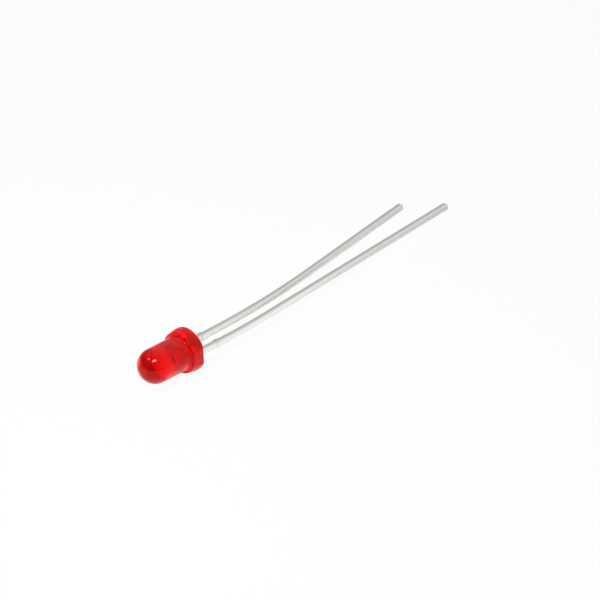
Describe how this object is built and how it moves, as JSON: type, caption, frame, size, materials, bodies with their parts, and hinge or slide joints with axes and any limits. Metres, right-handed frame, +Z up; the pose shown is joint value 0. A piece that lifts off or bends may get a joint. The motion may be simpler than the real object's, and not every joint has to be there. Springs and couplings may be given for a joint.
{
  "type": "through-hole LED",
  "caption": "Red 3 mm through-hole LED: domed tinted epoxy body with a flanged, flatted base, and stamped tinned leads that run back from it, gently bent, lying on its side.",
  "frame": {"origin": "centre of the flange's back face, on the body's axis, where the leads leave it", "axes": "+Z up from the surface that it lies on, +X towards the lead tips, +Y towards the anode side"},
  "size_m": [0.0369, 0.0054, 0.0038],
  "materials": {
    "red_epoxy": "clear, red-tinted, glossy cast epoxy",
    "tinned_steel": "satin tin plate",
    "die": "polished semiconductor",
    "silver_glue": "dull, silver-filled",
    "gold_wire": "bright gold"
  },
  "bodies": {
    "root": {"lens": "red_epoxy", "cathode_lead": "tinned_steel", "anode_lead": "tinned_steel", "led_die": "die", "die_attach": "silver_glue", "bond_wire": "gold_wire"}
  },
  "joints": []
}
